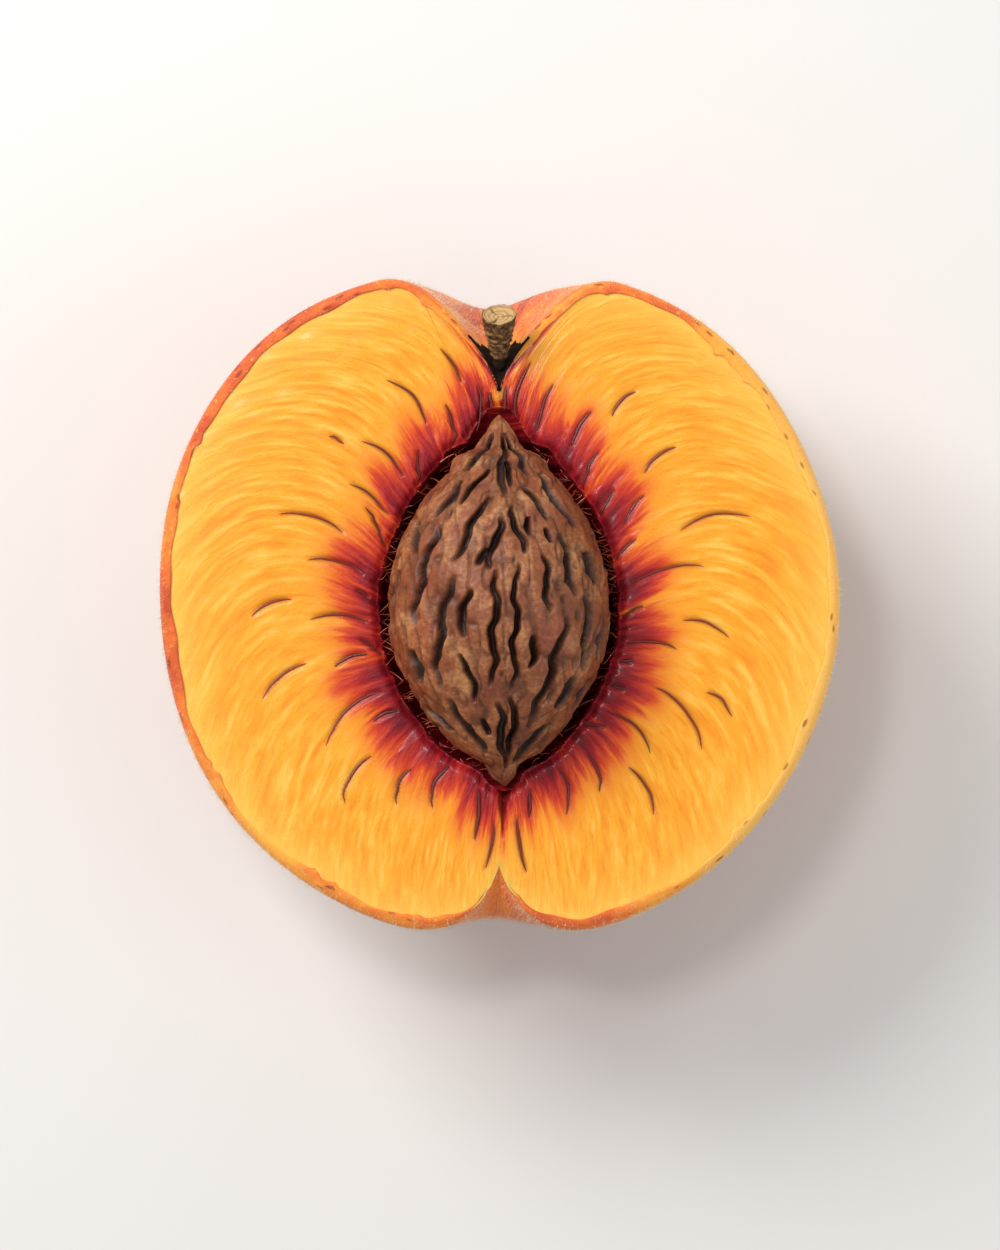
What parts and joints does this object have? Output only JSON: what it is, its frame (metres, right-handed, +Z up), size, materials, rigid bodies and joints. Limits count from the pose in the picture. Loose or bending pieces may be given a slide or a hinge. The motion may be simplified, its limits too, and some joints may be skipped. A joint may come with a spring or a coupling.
{
  "type": "peach half",
  "caption": "Fresh peach cut in half from stem to tip, lying on its round back with the cut face up, its furrowed stone and its stem stub in place.",
  "frame": {"origin": "under the middle of the part, on the small flat of its back that it rests on", "axes": "+Z up, the way the cut face looks; +Y from the tip of the fruit to its stem end; +X to the right seen from above with the stem at the top"},
  "size_m": [0.0698, 0.0668, 0.0456],
  "materials": {
    "flesh": "wet ripe fruit flesh, golden yellow turning red round the stone",
    "skin": "downy peach skin, golden yellow with a crimson blush",
    "stone": "hard, damp, deeply furrowed shell of the stone",
    "stem": "dry woody stub with rings and a broken end"
  },
  "bodies": {
    "root": {"flesh": "flesh", "stone": "stone", "stem": "stem"}
  },
  "joints": []
}
